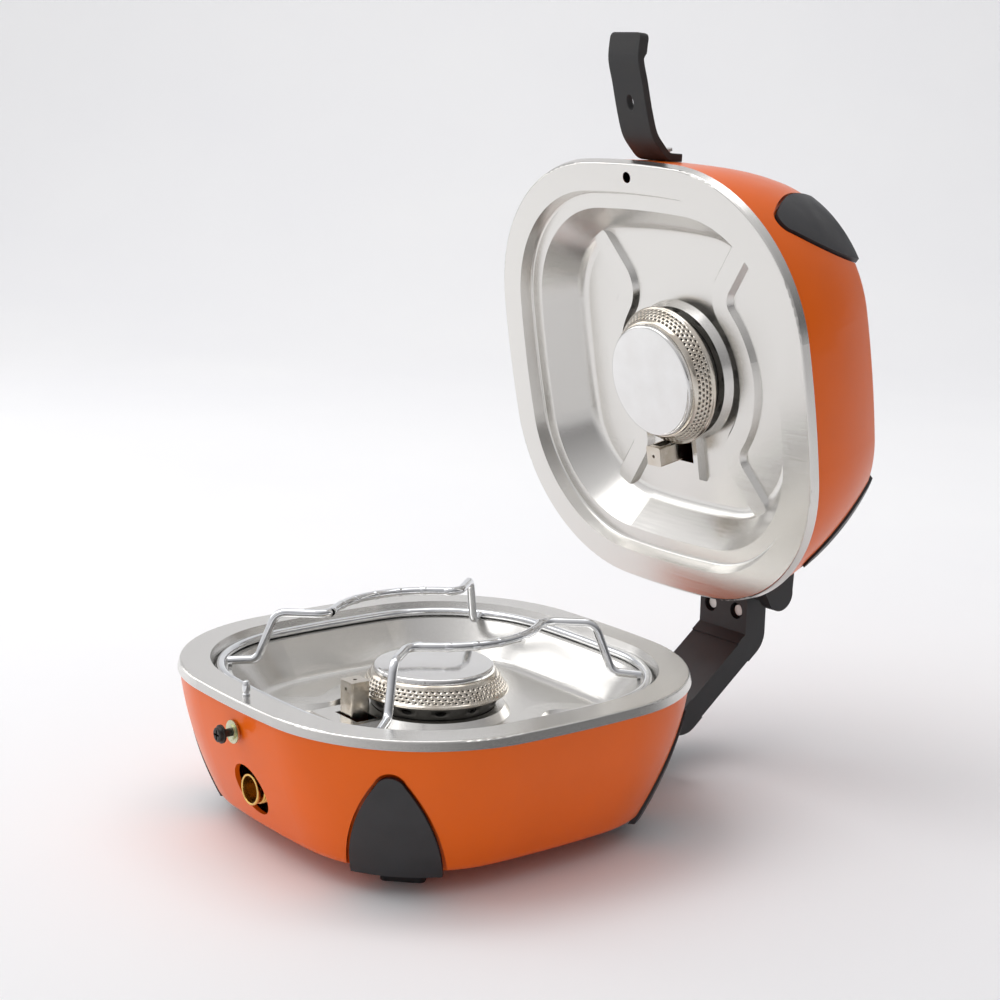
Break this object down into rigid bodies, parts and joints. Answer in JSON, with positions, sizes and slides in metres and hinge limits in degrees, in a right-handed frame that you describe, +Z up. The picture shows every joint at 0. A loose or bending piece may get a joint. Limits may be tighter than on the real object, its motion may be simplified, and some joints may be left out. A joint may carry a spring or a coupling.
{
  "type": "camping stove",
  "caption": "Folding clamshell gas camping stove: two round burners in matching halves on a double-pivot hinge arm, with a wire pot support.",
  "frame": {"origin": "on the ground, in the middle of the base half's feet", "axes": "+Z up, +Y towards the hinge, +X to the right seen from the gas inlet"},
  "size_m": [0.2541, 0.3661, 0.4072],
  "materials": {
    "black_plastic": "moulded",
    "black_rubber": "moulded",
    "black_screw": "black oxide",
    "brass": "machined",
    "brushed_tray": "brushed",
    "cast_aluminium": "cast",
    "ceramic": "glazed",
    "chrome": "chrome",
    "cup_iron": "dark enamel",
    "nickel_steel": "nickel",
    "orange_shell": "gloss",
    "plain_steel": "plain",
    "polished_steel": "polished",
    "zinc_steel": "yellow zinc"
  },
  "bodies": {
    "base": {"base_shell": "orange_shell", "base_tray": "brushed_tray", "base_foot_front_right": "black_plastic", "base_foot_front_left": "black_plastic", "base_foot_rear_right": "black_plastic", "base_foot_rear_left": "black_plastic", "base_foot_screws": "plain_steel", "base_burner_cap": "polished_steel", "base_burner_skirt": "polished_steel", "base_burner_cup": "cup_iron", "base_mixing_tube": "cast_aluminium", "base_gas_jet": "brass", "base_valve_body": "brass", "base_igniter_shroud": "nickel_steel", "base_igniter_electrode": "ceramic", "base_piezo_unit": "black_plastic", "base_gas_pipe": "brass", "base_hinge_bracket": "black_plastic", "base_hinge_pin": "plain_steel", "gas_inlet_fitting": "brass", "gas_regulator": "cast_aluminium", "base_chassis_plate": "plain_steel", "locating_pin": "plain_steel", "strap_peg": "black_screw", "strap_peg_nut": "zinc_steel"},
    "pot_support": {"pot_support_ring": "chrome", "pot_support_wire_left": "chrome", "pot_support_wire_right": "chrome"},
    "arm": {"hinge_arm_back": "black_plastic", "hinge_arm_front": "black_plastic", "hinge_arm_screws": "plain_steel", "hinge_gas_hose": "black_rubber"},
    "lid": {"lid_shell": "orange_shell", "lid_tray": "brushed_tray", "lid_foot_front_right": "black_plastic", "lid_foot_front_left": "black_plastic", "lid_foot_rear_right": "black_plastic", "lid_foot_rear_left": "black_plastic", "lid_foot_screws": "plain_steel", "lid_burner_cap": "polished_steel", "lid_burner_skirt": "polished_steel", "lid_burner_cup": "cup_iron", "lid_mixing_tube": "cast_aluminium", "lid_gas_jet": "brass", "lid_valve_body": "brass", "lid_igniter_shroud": "nickel_steel", "lid_igniter_electrode": "ceramic", "lid_piezo_unit": "black_plastic", "lid_gas_pipe": "brass", "lid_hinge_bracket": "black_plastic", "lid_hinge_pin": "plain_steel", "strap_anchor": "black_rubber", "strap_screws": "plain_steel"},
    "strap": {"latch_strap": "black_rubber"},
    "base_knob": {"base_knob": "black_plastic", "base_valve_stem": "plain_steel"},
    "base_igniter": {"base_igniter_button": "black_plastic"},
    "lid_knob": {"lid_knob": "black_plastic", "lid_valve_stem": "plain_steel"},
    "lid_igniter": {"lid_igniter_button": "black_plastic"}
  },
  "joints": [
    {"name": "arm_hinge", "type": "hinge", "parent": "base", "child": "arm", "pos_m": [0, 0.1332, 0.0331], "axis": [-1, 0, 0], "range_deg": [-52, 38]},
    {"name": "lid_hinge", "type": "hinge", "parent": "arm", "child": "lid", "pos_m": [0, 0.21547, 0.09738], "axis": [-1, 0, 0], "range_deg": [-27.6, 62.4]},
    {"name": "strap_flex", "type": "hinge", "parent": "lid", "child": "strap", "pos_m": [0, 0.12947, 0.34492], "axis": [1, 0, 0], "range_deg": [0, 90], "stiffness_Nm_per_rad": 0.06},
    {"name": "support_lift", "type": "slide", "parent": "base", "child": "pot_support", "axis": [0, 0, 1], "range_m": [0, 0.06]},
    {"name": "base_knob_turn", "type": "hinge", "parent": "base", "child": "base_knob", "pos_m": [-0.1, 0, 0.038], "axis": [-1, 0, 0], "range_deg": [0, 270]},
    {"name": "lid_knob_turn", "type": "hinge", "parent": "lid", "child": "lid_knob", "pos_m": [-0.1, 0.1866, 0.2275], "axis": [-1, 0, 0], "range_deg": [0, 270]},
    {"name": "base_igniter_press", "type": "slide", "parent": "base", "child": "base_igniter", "axis": [1, 0, 0], "range_m": [0, 0.004], "stiffness_N_per_m": 600},
    {"name": "lid_igniter_press", "type": "slide", "parent": "lid", "child": "lid_igniter", "axis": [1, 0, 0], "range_m": [0, 0.004], "stiffness_N_per_m": 600}
  ]
}
